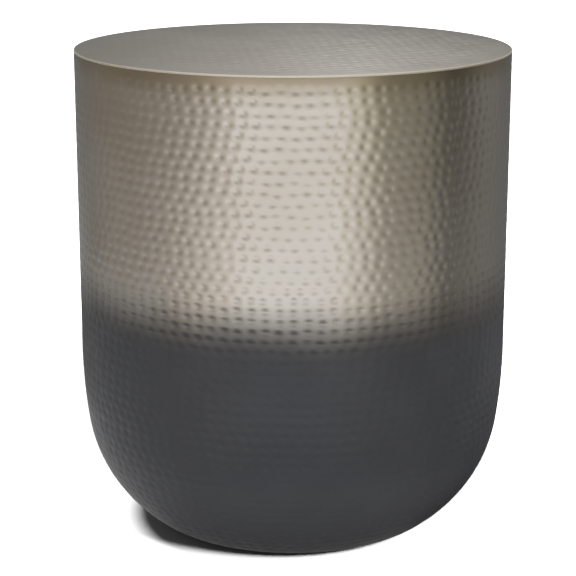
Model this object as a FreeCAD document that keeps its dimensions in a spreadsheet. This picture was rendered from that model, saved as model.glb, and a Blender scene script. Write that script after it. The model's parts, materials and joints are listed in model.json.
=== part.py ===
import FreeCAD, Part
import math
import os
import Sketcher

# Drum side table in hammered sheet metal: a rolled nickel shell over a spun graphite bowl, with a boarded
# metal top and four screw levellers hidden in a recess under the foot.
# Millimetres, +Z up, origin on the floor at the centre of the drum, levellers screwed home.

doc = FreeCAD.newDocument("DrumSideTable")

# Driving sizes, each set by itself
SIZES = {
    "drum_diameter": 406,
    "table_height": 457,
    "seam_height": 241,
    "floor_gap": 3,
    "wall": 1.2,
    "weld_gap": 0.05,
    "running_clearance": 0.1,
    "hole_clearance": 0.4,
    "top_thickness": 2,
    "top_edge_bevel": 0.8,
    "board_thickness": 12,
    "board_gap": 1,
    "ring_leg": 20,
    "ring_flange": 24,
    "ring_thickness": 2.5,
    "top_screw_count": 6,
    "top_screw_diameter": 4,
    "top_screw_length": 12,
    "top_screw_point": 3,
    "top_screw_head_diameter": 8,
    "top_screw_head_height": 2.6,
    "top_screw_crown_diameter": 5,
    "pilot_end_gap": 0.5,
    "band_height": 30,
    "band_thickness": 1.5,
    "shoulder_radius": 500,
    "shoulder_angle": 8,
    "belly_radius": 140,
    "belly_angle": 54,
    "heel_radius": 40,
    "foot_flat": 2,
    "fold_size": 3.5,
    "flange_weld_margin": 4,
    "plate_thickness": 4,
    "plate_gap": 0.5,
    "plate_bevel": 0.6,
    "base_screw_diameter": 5,
    "base_screw_head_diameter": 9.5,
    "base_screw_head_height": 2.75,
    "base_screw_head_edge": 0.8,
    "base_screw_socket": 3,
    "base_screw_socket_depth": 1.5,
    "base_nut_across": 8,
    "base_nut_height": 4,
    "leveller_count": 4,
    "leveller_travel": 10,
    "stem_diameter": 8,
    "stem_chamfer": 1,
    "leveller_nut_across": 13,
    "leveller_nut_height": 6.5,
    "collar_across": 13,
    "collar_height": 4,
    "home_gap": 0.3,
    "neck_diameter": 7,
    "disc_diameter": 12,
    "disc_thickness": 2.4,
    "socket_floor": 1.5,
    "pad_diameter": 30,
    "pad_top_diameter": 17,
    "pad_rim_height": 2.5,
    "pad_height": 7,
    "pad_margin": 2,
    "sole_thickness": 2,
    "sole_recess": 1,
    "sole_border": 1.5,
}

# Places and radii that follow from the driving sizes
DERIVED = {
    "drum_radius": "Sizes.drum_diameter / 2",
    "bore_radius": "drum_radius - Sizes.wall",
    "lined_radius": "bore_radius - Sizes.weld_gap",
    "shell_top": "Sizes.table_height - Sizes.top_thickness",
    "board_bottom": "shell_top - Sizes.board_thickness",
    "top_screw_circle": "lined_radius - Sizes.ring_flange / 2",
    "top_screw_radius": "Sizes.top_screw_diameter / 2",
    "top_screw_reach": "Sizes.top_screw_length - Sizes.ring_thickness",
    "shoulder_cos": "cos(Sizes.shoulder_angle * 1 deg)",
    "shoulder_sin": "sin(Sizes.shoulder_angle * 1 deg)",
    "belly_cos": "cos(Sizes.belly_angle * 1 deg)",
    "belly_sin": "sin(Sizes.belly_angle * 1 deg)",
    "shoulder_centre_r": "drum_radius - Sizes.shoulder_radius",
    "belly_centre_r": "shoulder_centre_r + (Sizes.shoulder_radius - Sizes.belly_radius) * shoulder_cos",
    "foot_radius": "belly_centre_r + (Sizes.belly_radius - Sizes.heel_radius) * belly_cos",
    "heel_centre_z": "Sizes.floor_gap + Sizes.heel_radius",
    "belly_centre_z": "heel_centre_z + (Sizes.belly_radius - Sizes.heel_radius) * belly_sin",
    "curve_start": "belly_centre_z + (Sizes.shoulder_radius - Sizes.belly_radius) * shoulder_sin",
    "fold_outside": "Sizes.fold_size + Sizes.wall * (2 - sqrt(2))",
    "recess_radius": "foot_radius - Sizes.foot_flat - fold_outside",
    "pad_bottom": "Sizes.sole_thickness - Sizes.sole_recess",
    "pad_top": "pad_bottom + Sizes.pad_height",
    "socket_bottom": "Sizes.sole_thickness + Sizes.socket_floor",
    "disc_bottom": "socket_bottom + Sizes.running_clearance",
    "disc_top": "disc_bottom + Sizes.disc_thickness",
    "socket_top": "disc_top + Sizes.running_clearance",
    "collar_bottom": "pad_top + Sizes.home_gap",
    "collar_top": "collar_bottom + Sizes.collar_height",
    "plate_bottom": "collar_top + Sizes.home_gap",
    "recess_ceiling": "plate_bottom + Sizes.plate_thickness",
    "flange_top": "recess_ceiling + Sizes.wall",
    "stem_top": "flange_top + Sizes.leveller_nut_height + Sizes.leveller_travel",
    "stem_radius": "Sizes.stem_diameter / 2",
    "pad_radius": "Sizes.pad_diameter / 2",
    "sole_radius": "pad_radius - Sizes.sole_border",
    "leveller_circle": "recess_radius - Sizes.pad_margin - pad_radius",
    "flange_edge_radius": "leveller_circle - Sizes.leveller_nut_across / sqrt(3) - Sizes.flange_weld_margin",
    "plate_radius": "recess_radius - Sizes.fold_size - Sizes.plate_gap",
    "base_screw_radius": "Sizes.base_screw_diameter / 2",
    "base_screw_top": "flange_top + Sizes.base_nut_height",
    "half_step": "180 / Sizes.leveller_count",
}


def make_sheet(name, cells):
    """Fill a sheet with one named cell a row."""
    sheet = doc.addObject("Spreadsheet::Sheet", name)
    for row, (alias, content) in enumerate(cells.items(), start=1):
        sheet.set(f"A{row}", alias)
        sheet.set(f"B{row}", content)
        sheet.setAlias(f"B{row}", alias)
    doc.recompute()
    return sheet


sizes = make_sheet("Sizes", {alias: str(number) for alias, number in SIZES.items()})
derived = make_sheet("Derived", {alias: "=" + formula for alias, formula in DERIVED.items()})


def value(expression):
    """Number that an expression on the sheets gives now."""
    return float(sizes.evalExpression(expression))


def new_body(label, height="0", turn="0"):
    """Body at a height above the floor, turned about the drum's axis by some degrees."""
    body = doc.addObject("PartDesign::Body", label)
    body.Label = label
    turned = FreeCAD.Rotation(FreeCAD.Vector(0, 0, 1), value(turn))
    body.Placement = FreeCAD.Placement(FreeCAD.Vector(), turned)
    if height != "0":
        body.setExpression("Placement.Base.z", height)
    return body


def origin_part(body, role):
    """One of the body's own origin planes or axes."""
    return next(part for part in body.Origin.OriginFeatures if part.Role == role)


def new_sketch(body, name, plane, lift="0"):
    """Sketch on one of the body's origin planes, lifted along the plane's normal."""
    sketch = body.newObject("Sketcher::SketchObject", f"{body.Name}_{name}")
    sketch.AttachmentSupport = [(origin_part(body, plane), "")]
    sketch.MapMode = "FlatFace"
    if lift != "0":
        sketch.setExpression("AttachmentOffset.Base.z", lift)
    return sketch


def pin_point(sketch, geometry, end, x, y):
    """Hold a point of the sketch at x and y, which are expressions on the sheets."""
    for kind, axis, place in (("DistanceX", -2, x), ("DistanceY", -1, y)):
        if place == "0":
            sketch.addConstraint(Sketcher.Constraint("PointOnObject", geometry, end, axis))
            continue
        index = sketch.addConstraint(Sketcher.Constraint(kind, geometry, end, value(place)))
        sketch.setExpression(f"Constraints[{index}]", place)


def set_radius(sketch, geometry, radius):
    """Hold the radius of a circle or an arc."""
    index = sketch.addConstraint(Sketcher.Constraint("Radius", geometry, value(radius)))
    sketch.setExpression(f"Constraints[{index}]", radius)


def add_circle(sketch, x, y, radius):
    """Circle with its centre and radius held."""
    centre = FreeCAD.Vector(value(x), value(y), 0)
    geometry = sketch.addGeometry(Part.Circle(centre, FreeCAD.Vector(0, 0, 1), value(radius)))
    pin_point(sketch, geometry, 3, x, y)
    set_radius(sketch, geometry, radius)


def arc_between(start, end, radius, side):
    """Arc of under half a turn whose centre is at the left (1) or right (-1) of the way from start to end."""
    chord = end - start
    rise = math.sqrt(radius ** 2 - (chord.Length / 2) ** 2)
    left = FreeCAD.Vector(-chord.y, chord.x, 0).normalize()
    centre = (start + end) * 0.5 + left * rise * side
    first, last = (start, end) if side > 0 else (end, start)
    first_angle = math.atan2(first.y - centre.y, first.x - centre.x)
    last_angle = math.atan2(last.y - centre.y, last.x - centre.x)
    circle = Part.Circle(centre, FreeCAD.Vector(0, 0, 1), radius)
    return Part.ArcOfCircle(circle, first_angle, last_angle)


def add_outline(sketch, corners, arcs=None):
    """Closed outline through corners given as expressions; arcs gives radius and side for arcs by corner."""
    arcs = arcs or {}
    points = [FreeCAD.Vector(value(x), value(y), 0) for x, y in corners]
    edges = []
    for index, start in enumerate(points):
        end = points[(index + 1) % len(points)]
        if index in arcs:
            radius, side = arcs[index]
            geometry = sketch.addGeometry(arc_between(start, end, value(radius), side))
            edges.append((geometry, 1, 2) if side > 0 else (geometry, 2, 1))
            set_radius(sketch, geometry, radius)
        else:
            geometry = sketch.addGeometry(Part.LineSegment(start, end))
            edges.append((geometry, 1, 2))
    for index, (geometry, first, last) in enumerate(edges):
        following, following_first, _ = edges[(index + 1) % len(edges)]
        sketch.addConstraint(Sketcher.Constraint("Coincident", geometry, last, following, following_first))
        pin_point(sketch, geometry, first, *corners[index])


def add_hexagon(sketch, x, y, across):
    """Hexagon given by its centre and its size across the flats."""
    add_outline(sketch, [
        (f"{x} + {across} / sqrt(3) * cos({angle} deg)", f"{y} + {across} / sqrt(3) * sin({angle} deg)")
        for angle in range(30, 390, 60)
    ])


def add_axis(sketch, x, low, high):
    """Upright construction line, the first of its sketch, to turn the sketch about."""
    start = FreeCAD.Vector(value(x), value(low), 0)
    end = FreeCAD.Vector(value(x), value(high), 0)
    geometry = sketch.addGeometry(Part.LineSegment(start, end), True)
    pin_point(sketch, geometry, 1, x, low)
    pin_point(sketch, geometry, 2, x, high)


def add_feature(body, kind, sketch, name):
    """Feature of the body made from a sketch."""
    feature = body.newObject(f"PartDesign::{kind}", f"{body.Name}_{name}")
    feature.Profile = sketch
    body.Tip = feature
    return feature


def pad(body, sketch, height, name="Pad"):
    """Raise a sketch upwards."""
    feature = add_feature(body, "Pad", sketch, name)
    feature.setExpression("Length", height)
    doc.recompute()
    return feature


def revolve(body, sketch, axis="V_Axis", name="Turned"):
    """Turn a sketch right round an axis of its own."""
    feature = add_feature(body, "Revolution", sketch, name)
    feature.ReferenceAxis = (sketch, [axis])
    feature.Angle = 360
    doc.recompute()
    return feature


def pocket_up(body, sketch, depth=None, name="Pocket"):
    """Cut a sketch upwards, to a depth or right through."""
    before = body.Shape.Volume
    feature = add_feature(body, "Pocket", sketch, name)
    feature.Reversed = True
    if depth is None:
        feature.Type = "ThroughAll"
    else:
        feature.setExpression("Length", depth)
    doc.recompute()
    if not body.Shape.Volume < before:
        raise RuntimeError(f"{feature.Name} cuts nothing")
    return feature


def ring_of(body, features, count, name="Ring"):
    """Repeat features evenly round the drum's axis."""
    pattern = body.newObject("PartDesign::PolarPattern", f"{body.Name}_{name}")
    pattern.Originals = features
    pattern.Axis = (origin_part(body, "Z_Axis"), [""])
    pattern.Angle = 360
    pattern.setExpression("Occurrences", count)
    body.Tip = pattern
    doc.recompute()
    return pattern


def bevel_rim(body, size):
    """Bevel the outer edges of a padded disc, top and bottom."""
    base = body.Tip
    reach = max(edge.BoundBox.XMax for edge in base.Shape.Edges)
    rims = [f"Edge{number}" for number, edge in enumerate(base.Shape.Edges, start=1)
            if edge.Closed and math.isclose(edge.BoundBox.XMax, reach, abs_tol=1e-6)]
    feature = body.newObject("PartDesign::Chamfer", f"{body.Name}_Rim")
    feature.Base = (base, rims)
    feature.setExpression("Size", size)
    body.Tip = feature
    doc.recompute()


def top_sheet():
    """Hammered metal disc that caps the drum, its edge flush with the shell."""
    body = new_body("top_sheet", "Derived.shell_top")
    sketch = new_sketch(body, "Disc", "XY_Plane")
    add_circle(sketch, "0", "0", "Derived.drum_radius")
    pad(body, sketch, "Sizes.top_thickness")
    bevel_rim(body, "Sizes.top_edge_bevel")
    return body


def top_core_board():
    """Board under the top sheet, drilled from below for its screws."""
    body = new_body("top_core_board", "Derived.board_bottom")
    disc = new_sketch(body, "Disc", "XY_Plane")
    add_circle(disc, "0", "0", "Derived.bore_radius - Sizes.board_gap")
    pad(body, disc, "Sizes.board_thickness")
    pilot = new_sketch(body, "Pilot", "XY_Plane")
    add_circle(pilot, "Derived.top_screw_circle", "0", "Derived.top_screw_radius + Sizes.running_clearance")
    hole = pocket_up(body, pilot, "Derived.top_screw_reach + Sizes.pilot_end_gap")
    ring_of(body, [hole], "Sizes.top_screw_count")
    return body


def rim_ring():
    """Rolled angle ring welded inside the shell's mouth: its flange carries the board, its leg hangs down."""
    body = new_body("rim_ring", "Derived.board_bottom")
    section = new_sketch(body, "Angle", "XZ_Plane")
    leg_inside = "Derived.lined_radius - Sizes.ring_thickness"
    add_outline(section, [
        ("Derived.lined_radius", "0"),
        ("Derived.lined_radius - Sizes.ring_flange", "0"),
        ("Derived.lined_radius - Sizes.ring_flange", "-Sizes.ring_thickness"),
        (leg_inside, "-Sizes.ring_thickness"),
        (leg_inside, "-Sizes.ring_leg"),
        ("Derived.lined_radius", "-Sizes.ring_leg"),
    ])
    revolve(body, section)
    drilling = new_sketch(body, "Hole", "XY_Plane", "-Sizes.ring_leg")
    add_circle(drilling, "Derived.top_screw_circle", "0", "Derived.top_screw_radius + Sizes.hole_clearance")
    hole = pocket_up(body, drilling)
    ring_of(body, [hole], "Sizes.top_screw_count")
    return body


def top_core_screws():
    """Pan-head wood screws driven up through the ring's flange into the board."""
    body = new_body("top_core_screws", "Derived.board_bottom - Sizes.ring_thickness")
    section = new_sketch(body, "Screw", "XZ_Plane")
    axis = "Derived.top_screw_circle"
    shank = f"{axis} + Derived.top_screw_radius"
    head = f"{axis} + Sizes.top_screw_head_diameter / 2"
    crown = f"{axis} + Sizes.top_screw_crown_diameter / 2"
    add_outline(section, [
        (axis, "Sizes.top_screw_length"),
        (axis, "-Sizes.top_screw_head_height"),
        (crown, "-Sizes.top_screw_head_height"),
        (head, "0"),
        (shank, "0"),
        (shank, "Sizes.top_screw_length - Sizes.top_screw_point"),
    ])
    add_axis(section, axis, "-Sizes.top_screw_head_height", "Sizes.top_screw_length")
    screw = revolve(body, section, "Axis0")
    ring_of(body, [screw], "Sizes.top_screw_count")
    return body


def upper_shell():
    """Rolled cylinder from the seam up to the underside of the top sheet."""
    body = new_body("upper_shell", "Sizes.seam_height")
    sketch = new_sketch(body, "Tube", "XY_Plane")
    add_circle(sketch, "0", "0", "Derived.drum_radius")
    add_circle(sketch, "0", "0", "Derived.bore_radius")
    pad(body, sketch, "Derived.shell_top - Sizes.seam_height")
    return body


def seam_band():
    """Hoop inside the drum that backs the weld between shell and bowl."""
    body = new_body("seam_band", "Sizes.seam_height - Sizes.band_height / 2")
    sketch = new_sketch(body, "Hoop", "XY_Plane")
    add_circle(sketch, "0", "0", "Derived.lined_radius")
    add_circle(sketch, "0", "0", "Derived.lined_radius - Sizes.band_thickness")
    pad(body, sketch, "Sizes.band_height")
    return body


def bowl_side(depth):
    """Corners of the bowl's side from the seam to the foot, at a depth under its outer skin."""
    radius = f"Derived.drum_radius - {depth}"
    belly = f"(Sizes.belly_radius - {depth})"
    heel = f"(Sizes.heel_radius - {depth})"
    return [
        (radius, "Sizes.seam_height"),
        (radius, "Derived.curve_start"),
        (f"Derived.belly_centre_r + {belly} * Derived.shoulder_cos",
         f"Derived.belly_centre_z - {belly} * Derived.shoulder_sin"),
        (f"Derived.foot_radius + {heel} * Derived.belly_cos",
         f"Derived.heel_centre_z - {heel} * Derived.belly_sin"),
        ("Derived.foot_radius", f"Sizes.floor_gap + {depth}"),
    ]


def leveller_spot(angle):
    """Place on the leveller circle at an angle given as an expression in degrees."""
    turn = f"({angle} * 1 deg)"
    return f"Derived.leveller_circle * cos{turn}", f"Derived.leveller_circle * sin{turn}"


def drill_base(body):
    """Holes for the levellers and, half way between them, for the base plate's screws."""
    stems = new_sketch(body, "StemHole", "XY_Plane")
    add_circle(stems, "Derived.leveller_circle", "0", "Derived.stem_radius + Sizes.hole_clearance")
    stem_hole = pocket_up(body, stems, name="StemPocket")
    ring_of(body, [stem_hole], "Sizes.leveller_count", "StemRing")
    screws = new_sketch(body, "ScrewHole", "XY_Plane")
    x, y = leveller_spot("Derived.half_step")
    add_circle(screws, x, y, "Derived.base_screw_radius + Sizes.hole_clearance")
    screw_hole = pocket_up(body, screws, name="ScrewPocket")
    ring_of(body, [screw_hole], "Sizes.leveller_count", "ScrewRing")


def lower_bowl():
    """Spun bowl: three tangent curves down to a narrow foot, folded up into a recess with a flange."""
    body = new_body("lower_bowl")
    section = new_sketch(body, "Sheet", "XZ_Plane")
    skin = bowl_side("0")
    lining = bowl_side("Sizes.wall")
    wall_inside = "Derived.recess_radius + Sizes.wall"
    floor_inside = "Sizes.floor_gap + Sizes.wall"
    underside = [
        ("Derived.recess_radius + Derived.fold_outside", "Sizes.floor_gap"),
        ("Derived.recess_radius", "Sizes.floor_gap + Derived.fold_outside"),
        ("Derived.recess_radius", "Derived.recess_ceiling - Sizes.fold_size"),
        ("Derived.recess_radius - Sizes.fold_size", "Derived.recess_ceiling"),
        ("Derived.flange_edge_radius", "Derived.recess_ceiling"),
    ]
    upper_side = [
        ("Derived.flange_edge_radius", "Derived.flange_top"),
        (f"{wall_inside} - Derived.fold_outside", "Derived.flange_top"),
        (wall_inside, "Derived.flange_top - Derived.fold_outside"),
        (wall_inside, f"{floor_inside} + Sizes.fold_size"),
        (f"{wall_inside} + Sizes.fold_size", floor_inside),
    ]
    corners = skin + underside + upper_side + lining[::-1]
    lining_end = len(corners) - 1
    arcs = {
        1: ("Sizes.shoulder_radius", -1),
        2: ("Sizes.belly_radius", -1),
        3: ("Sizes.heel_radius", -1),
        lining_end - 4: ("Sizes.heel_radius - Sizes.wall", 1),
        lining_end - 3: ("Sizes.belly_radius - Sizes.wall", 1),
        lining_end - 2: ("Sizes.shoulder_radius - Sizes.wall", 1),
    }
    add_outline(section, corners, arcs)
    revolve(body, section)
    drill_base(body)
    return body


def base_plate():
    """Steel plate under the flange, which closes the hole and weighs the foot down."""
    body = new_body("base_plate", "Derived.plate_bottom")
    sketch = new_sketch(body, "Disc", "XY_Plane")
    add_circle(sketch, "0", "0", "Derived.plate_radius")
    pad(body, sketch, "Sizes.plate_thickness")
    bevel_rim(body, "Sizes.plate_bevel")
    drill_base(body)
    return body


def base_plate_screws():
    """Button-head screws, sockets facing the floor, that hold the base plate to the flange."""
    body = new_body("base_plate_screws", "Derived.plate_bottom", "Derived.half_step")
    section = new_sketch(body, "Screw", "XZ_Plane")
    axis = "Derived.leveller_circle"
    shank = f"{axis} + Derived.base_screw_radius"
    head = f"{axis} + Sizes.base_screw_head_diameter / 2"
    crown = f"{axis} + Sizes.base_screw_socket / sqrt(3) + Sizes.base_screw_head_edge"
    shank_top = "Derived.base_screw_top - Derived.plate_bottom"
    add_outline(section, [
        (axis, shank_top),
        (axis, "-Sizes.base_screw_head_height"),
        (crown, "-Sizes.base_screw_head_height"),
        (head, "-Sizes.base_screw_head_edge"),
        (head, "0"),
        (shank, "0"),
        (shank, shank_top),
    ])
    add_axis(section, axis, "-Sizes.base_screw_head_height", shank_top)
    screw = revolve(body, section, "Axis0")
    socket = new_sketch(body, "Socket", "XY_Plane", "-Sizes.base_screw_head_height")
    add_hexagon(socket, axis, "0", "Sizes.base_screw_socket")
    recess = pocket_up(body, socket, "Sizes.base_screw_socket_depth")
    ring_of(body, [screw, recess], "Sizes.leveller_count")
    return body


def weld_nuts(label, turn, across, bore, height):
    """Ring of hexagon nuts welded on top of the flange."""
    body = new_body(label, "Derived.flange_top", turn)
    sketch = new_sketch(body, "Nut", "XY_Plane")
    add_hexagon(sketch, "Derived.leveller_circle", "0", across)
    add_circle(sketch, "Derived.leveller_circle", "0", bore)
    nut = pad(body, sketch, height)
    ring_of(body, [nut], "Sizes.leveller_count")
    return body


def leveller_body(kind, index):
    """Body for one piece of a leveller, standing on the floor at its place on the leveller circle."""
    body = new_body(f"leveller_{kind}_{index + 1}", turn=f"2 * Derived.half_step * {index}")
    x, y = leveller_spot(f"(2 * Derived.half_step * {index})")
    body.setExpression("Placement.Base.x", x)
    body.setExpression("Placement.Base.y", y)
    return body


def leveller_stem(index):
    """Screw stem: a disc held in the pad, a hexagon collar for the spanner, and the threaded shank."""
    body = leveller_body("stem", index)
    section = new_sketch(body, "Stem", "XZ_Plane")
    add_outline(section, [
        ("0", "Derived.disc_bottom"),
        ("Sizes.disc_diameter / 2", "Derived.disc_bottom"),
        ("Sizes.disc_diameter / 2", "Derived.disc_top"),
        ("Sizes.neck_diameter / 2", "Derived.disc_top"),
        ("Sizes.neck_diameter / 2", "Derived.collar_top"),
        ("Derived.stem_radius", "Derived.collar_top"),
        ("Derived.stem_radius", "Derived.stem_top - Sizes.stem_chamfer"),
        ("Derived.stem_radius - Sizes.stem_chamfer", "Derived.stem_top"),
        ("0", "Derived.stem_top"),
    ])
    revolve(body, section)
    collar = new_sketch(body, "Collar", "XY_Plane", "Derived.collar_bottom")
    add_hexagon(collar, "0", "0", "Sizes.collar_across")
    pad(body, collar, "Sizes.collar_height")
    return body


def leveller_pad(index):
    """Round foot with a socket that holds the stem's disc and a shallow seat for the sole."""
    body = leveller_body("pad", index)
    section = new_sketch(body, "Foot", "XZ_Plane")
    neck_hole = "Sizes.neck_diameter / 2 + Sizes.running_clearance"
    socket = "Sizes.disc_diameter / 2 + Sizes.running_clearance"
    seat = "Derived.sole_radius + Sizes.running_clearance"
    add_outline(section, [
        (seat, "Derived.pad_bottom"),
        ("Derived.pad_radius", "Derived.pad_bottom"),
        ("Derived.pad_radius", "Derived.pad_bottom + Sizes.pad_rim_height"),
        ("Sizes.pad_top_diameter / 2", "Derived.pad_top"),
        (neck_hole, "Derived.pad_top"),
        (neck_hole, "Derived.socket_top"),
        (socket, "Derived.socket_top"),
        (socket, "Derived.socket_bottom"),
        ("0", "Derived.socket_bottom"),
        ("0", "Sizes.sole_thickness"),
        (seat, "Sizes.sole_thickness"),
    ])
    revolve(body, section)
    return body


def leveller_sole(index):
    """Soft disc in the foot's seat, which meets the floor."""
    body = leveller_body("sole", index)
    sketch = new_sketch(body, "Disc", "XY_Plane")
    add_circle(sketch, "0", "0", "Derived.sole_radius")
    pad(body, sketch, "Sizes.sole_thickness")
    return body


pieces = [
    top_sheet(),
    top_core_board(),
    rim_ring(),
    top_core_screws(),
    upper_shell(),
    seam_band(),
    lower_bowl(),
    base_plate(),
    base_plate_screws(),
    weld_nuts("base_plate_nuts", "Derived.half_step", "Sizes.base_nut_across",
              "Derived.base_screw_radius + Sizes.running_clearance", "Sizes.base_nut_height"),
    weld_nuts("leveller_nuts", "0", "Sizes.leveller_nut_across",
              "Derived.stem_radius + Sizes.running_clearance", "Sizes.leveller_nut_height"),
]
for number in range(int(value("Sizes.leveller_count"))):
    pieces += [leveller_stem(number), leveller_pad(number), leveller_sole(number)]

# Nothing is written unless every object of the document is sound
doc.recompute()
for item in doc.Objects:
    if "Invalid" in item.State or "Error" in item.State:
        raise RuntimeError(f"{item.Name} failed: {item.State}")
for piece in pieces:
    if piece.Shape.isNull() or not piece.Shape.isValid():
        raise RuntimeError(f"{piece.Label} has no valid shape")

os.makedirs("parts", exist_ok=True)
for piece in pieces:
    piece.Shape.exportStep(f"parts/{piece.Label}.step")
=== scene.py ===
import json
import math

import bpy
import numpy as np
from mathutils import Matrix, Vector
from mathutils.geometry import tessellate_polygon


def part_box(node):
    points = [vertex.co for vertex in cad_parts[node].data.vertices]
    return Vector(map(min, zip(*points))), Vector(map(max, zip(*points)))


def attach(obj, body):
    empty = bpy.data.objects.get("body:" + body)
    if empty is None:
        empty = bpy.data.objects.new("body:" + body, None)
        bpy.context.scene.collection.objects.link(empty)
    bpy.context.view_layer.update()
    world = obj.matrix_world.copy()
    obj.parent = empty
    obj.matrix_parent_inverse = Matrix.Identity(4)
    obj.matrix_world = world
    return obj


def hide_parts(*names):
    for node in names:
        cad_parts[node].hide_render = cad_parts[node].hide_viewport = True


# Hammered drum side table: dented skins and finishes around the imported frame. Metres, +Z up.
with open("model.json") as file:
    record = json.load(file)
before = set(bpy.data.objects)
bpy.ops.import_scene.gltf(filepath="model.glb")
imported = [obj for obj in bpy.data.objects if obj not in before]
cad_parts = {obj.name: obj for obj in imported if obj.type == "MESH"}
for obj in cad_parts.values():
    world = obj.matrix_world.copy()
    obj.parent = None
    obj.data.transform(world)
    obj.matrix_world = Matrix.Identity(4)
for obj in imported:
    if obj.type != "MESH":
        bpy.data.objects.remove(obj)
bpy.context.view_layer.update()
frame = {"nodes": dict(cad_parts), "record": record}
nodes = frame["nodes"]
SEED = 7
dice = np.random.default_rng(SEED)

# The drum's sizes, read from the frame
DRUM_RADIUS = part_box("upper_shell")[1].x
SEAM_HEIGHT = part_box("upper_shell")[0].z
SHELL_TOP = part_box("upper_shell")[1].z
TABLE_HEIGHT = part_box("top_sheet")[1].z
FLOOR_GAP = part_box("lower_bowl")[0].z
PLATE_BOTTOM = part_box("base_plate")[0].z
PLATE_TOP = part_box("base_plate")[1].z

# The bowl's curves, as in the solid: bend radius and downward tilt at the end of each
WALL = 0.0012
SHOULDER_RADIUS = 0.5
SHOULDER_TILT = math.radians(8)
BELLY_RADIUS = 0.14
BELLY_TILT = math.radians(54)
HEEL_RADIUS = 0.04
HEEL_TILT = math.radians(90)
FOOT_FLAT = 0.002
FOLD = 0.0035
FOLD_OUTSIDE = FOLD + WALL * (2 - math.sqrt(2))
FLANGE_EDGE = 0.08357

# The dents: rows down the skin, dents round each row
ROW_PITCH = 0.00945
ROWS_ABOVE_SEAM = 22
DENT_PITCH = 0.012
DENT_SPREAD = 0.0021
DENT_REACH = 3.2 * DENT_SPREAD
DENT_WIDTH = 1.25
DENT_DEPTH = 0.00072
DENT_DEPTH_RANGE = (0.75, 1.2)
DENT_JITTER = 0.0006

# The hammering is deeper on some sides of the drum than on others
DEPTH_WAVES = 3
DEPTH_SWING = 0.24
DEEPEST_SIDE = math.radians(-32)

# The lacquer partly fills the dents, from one height down to another
FILL_TOP = 0.236
FILL_END = 0.19
FILLED_DEPTH = 0.72

# How finely the dented skins are cut
UPPER_COLUMNS = 760
LOWER_COLUMNS = 600
UPPER_STEP = 0.00175
LOWER_STEP = 0.0021


def skin_stretches():
    """Length and bend radius of each stretch of the skin, from the shell's top down to the foot."""
    bends = [(SHOULDER_RADIUS, SHOULDER_TILT), (BELLY_RADIUS, BELLY_TILT), (HEEL_RADIUS, HEEL_TILT)]
    curved = []
    drop = 0
    tilt = 0
    for bend, end_tilt in bends:
        curved.append((bend * (end_tilt - tilt), bend))
        drop += bend * (math.sin(end_tilt) - math.sin(tilt))
        tilt = end_tilt
    straight = SHELL_TOP - FLOOR_GAP - drop
    return [(straight, None)] + curved + [(FOOT_FLAT, None)]


def skin_line(length, depth=0):
    """Radius, height and tilt of the smooth skin, or of a layer at a depth under it, at a length along it."""
    radius = np.full(length.shape, DRUM_RADIUS)
    height = np.full(length.shape, SHELL_TOP)
    tilt = np.zeros(length.shape)
    start = 0
    start_tilt = 0
    for stretch, bend in skin_stretches():
        along = np.clip(length - start, 0, stretch)
        if bend is None:
            radius -= along * math.sin(start_tilt)
            height -= along * math.cos(start_tilt)
        else:
            turned = along / bend
            radius -= bend * (math.cos(start_tilt) - np.cos(start_tilt + turned))
            height -= bend * (np.sin(start_tilt + turned) - math.sin(start_tilt))
            tilt += turned
            start_tilt += stretch / bend
        start += stretch
    return radius - depth * np.cos(tilt), height + depth * np.sin(tilt), tilt


SEAM_LENGTH = SHELL_TOP - SEAM_HEIGHT
SKIN_LENGTH = sum(stretch for stretch, bend in skin_stretches())
FIRST_ROW = SEAM_LENGTH - (ROWS_ABOVE_SEAM - 0.5) * ROW_PITCH


def dent_rows():
    """Rows of dents: each has its place along the skin, phase, step, angles, offsets, depths and radius."""
    rows = []
    count_of_rows = int((SKIN_LENGTH - FOOT_FLAT - FIRST_ROW) / ROW_PITCH)
    for index in range(count_of_rows):
        along = FIRST_ROW + index * ROW_PITCH
        radius, height, tilt = (float(line[0]) for line in skin_line(np.array([along])))
        count = round(2 * math.pi * radius / DENT_PITCH)
        step = 2 * math.pi / count
        phase = step * dice.uniform(-0.5, 0.5)
        angles = phase + step * np.arange(count) + dice.normal(0, DENT_JITTER / radius, count)
        offsets = dice.normal(0, DENT_JITTER, count)
        left_open = np.interp(height, (FILL_END, FILL_TOP), (FILLED_DEPTH, 1))
        uneven = 1 + DEPTH_SWING * np.cos(DEPTH_WAVES * (angles - DEEPEST_SIDE))
        depths = left_open * DENT_DEPTH * uneven * dice.uniform(*DENT_DEPTH_RANGE, count)
        rows.append((along, phase, step, angles, offsets, depths, radius))
    return rows


ROWS = dent_rows()


def dish(distance, spread):
    """Depth of a dent against its deepest point, at a squared distance from it."""
    return np.exp(-distance / (2 * spread ** 2))


def dent_field(lengths, angles):
    """Depth of the dents on a grid of lengths along the skin and angles round it."""
    field = np.zeros((len(lengths), len(angles)))
    for along, phase, step, dent_angles, offsets, depths, radius in ROWS:
        near = np.abs(lengths - along) < DENT_REACH
        if not near.any():
            continue
        count = len(dent_angles)
        nearest = np.round((angles - phase) / step).astype(int)
        for shift in (-1, 0, 1):
            dent = (nearest + shift) % count
            across = (angles - dent_angles[dent] + math.pi) % (2 * math.pi) - math.pi
            down = lengths[near][:, None] - along - offsets[dent][None, :]
            distance = (across * radius / DENT_WIDTH)[None, :] ** 2 + down ** 2
            field[near] += depths[dent][None, :] * dish(distance, DENT_SPREAD)
    return field


# Half the distance over which slopes are measured, and the lean of the shell under the top sheet
SLOPE_STEP = 0.0003
RIM_TURN = 0.0004
RIM_REACH = 0.009


def rim_turn(lengths):
    """How far the shell leans in just under the top sheet."""
    return RIM_TURN * np.clip(1 - lengths / RIM_REACH, 0, 1) ** 2


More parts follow.
